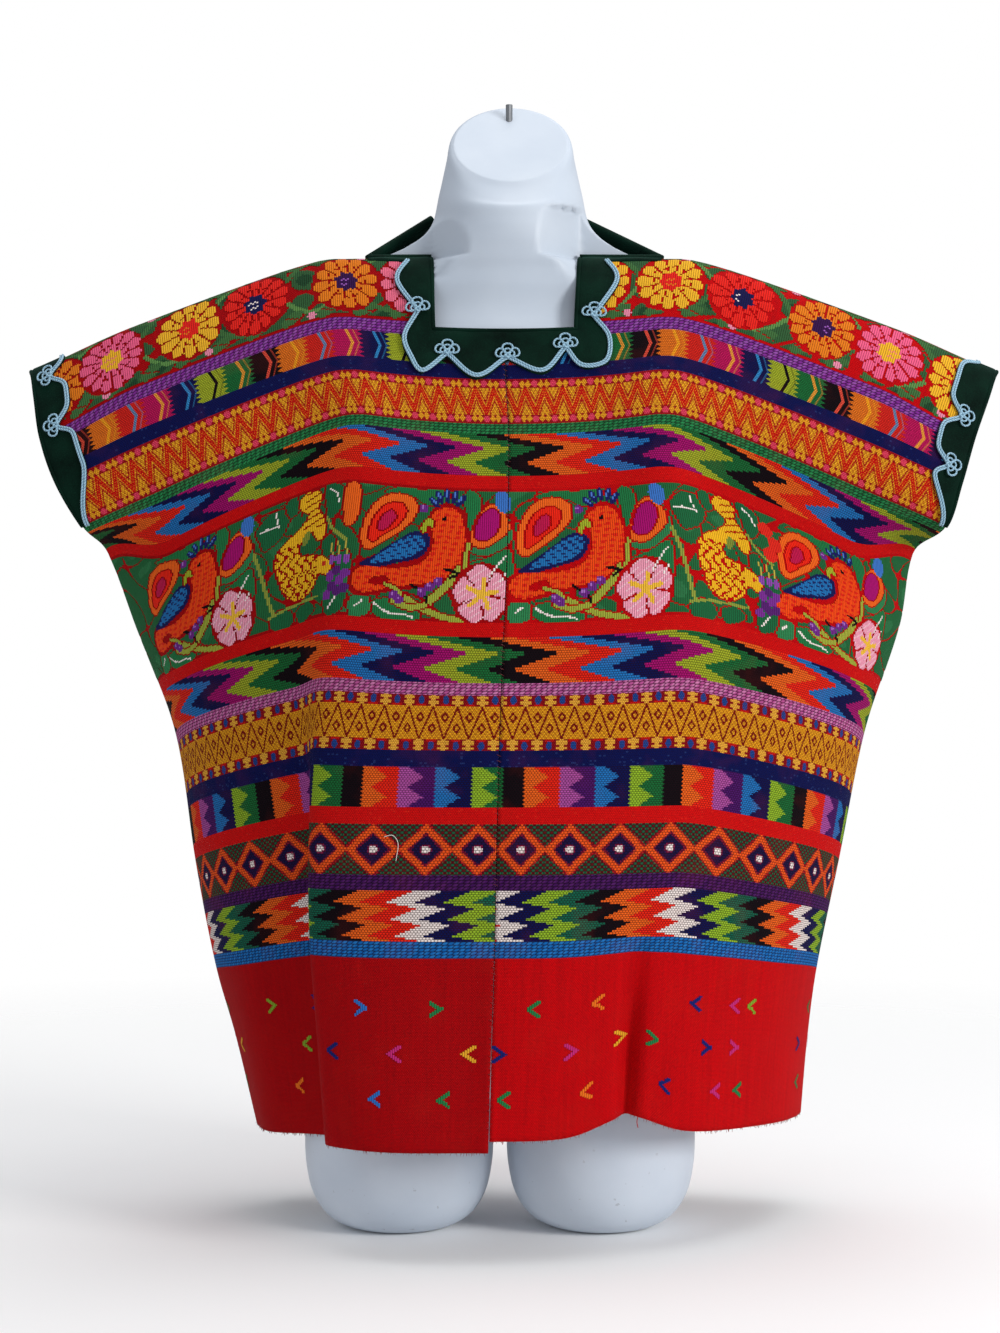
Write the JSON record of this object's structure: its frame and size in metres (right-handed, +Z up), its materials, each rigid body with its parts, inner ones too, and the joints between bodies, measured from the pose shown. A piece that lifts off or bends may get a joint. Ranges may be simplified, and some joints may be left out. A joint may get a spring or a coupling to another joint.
{
  "type": "huipil tunic on a torso dress form",
  "caption": "Wide brocaded tunic of two woven panels, folded at the shoulders, with velvet neck and armhole trims and scalloped cords, hanging on a torso dress form",
  "frame": {"origin": "the middle of the bounding box, on the floor plane that the two thigh stubs stand on", "axes": "+X to the viewer's right, +Y to the back, +Z up; the front of the tunic faces -Y"},
  "size_m": [0.7308, 0.2548, 0.85],
  "materials": {
    "cloth": "brocaded cotton weave",
    "velvet": "short pile velvet",
    "cord": "twisted double cord",
    "form": "smooth satin",
    "metal": "plain wire"
  },
  "bodies": {
    "root": {"panel_left": "cloth", "panel_right": "cloth", "neck_trim_front": "velvet", "neck_trim_back": "velvet", "armhole_trim_left": "velvet", "armhole_trim_right": "velvet", "neck_cord_front": "cord", "neck_cord_back": "cord", "armhole_cord_left": "cord", "armhole_cord_right": "cord", "torso_form": "form", "hook_shank": "metal"}
  },
  "joints": []
}
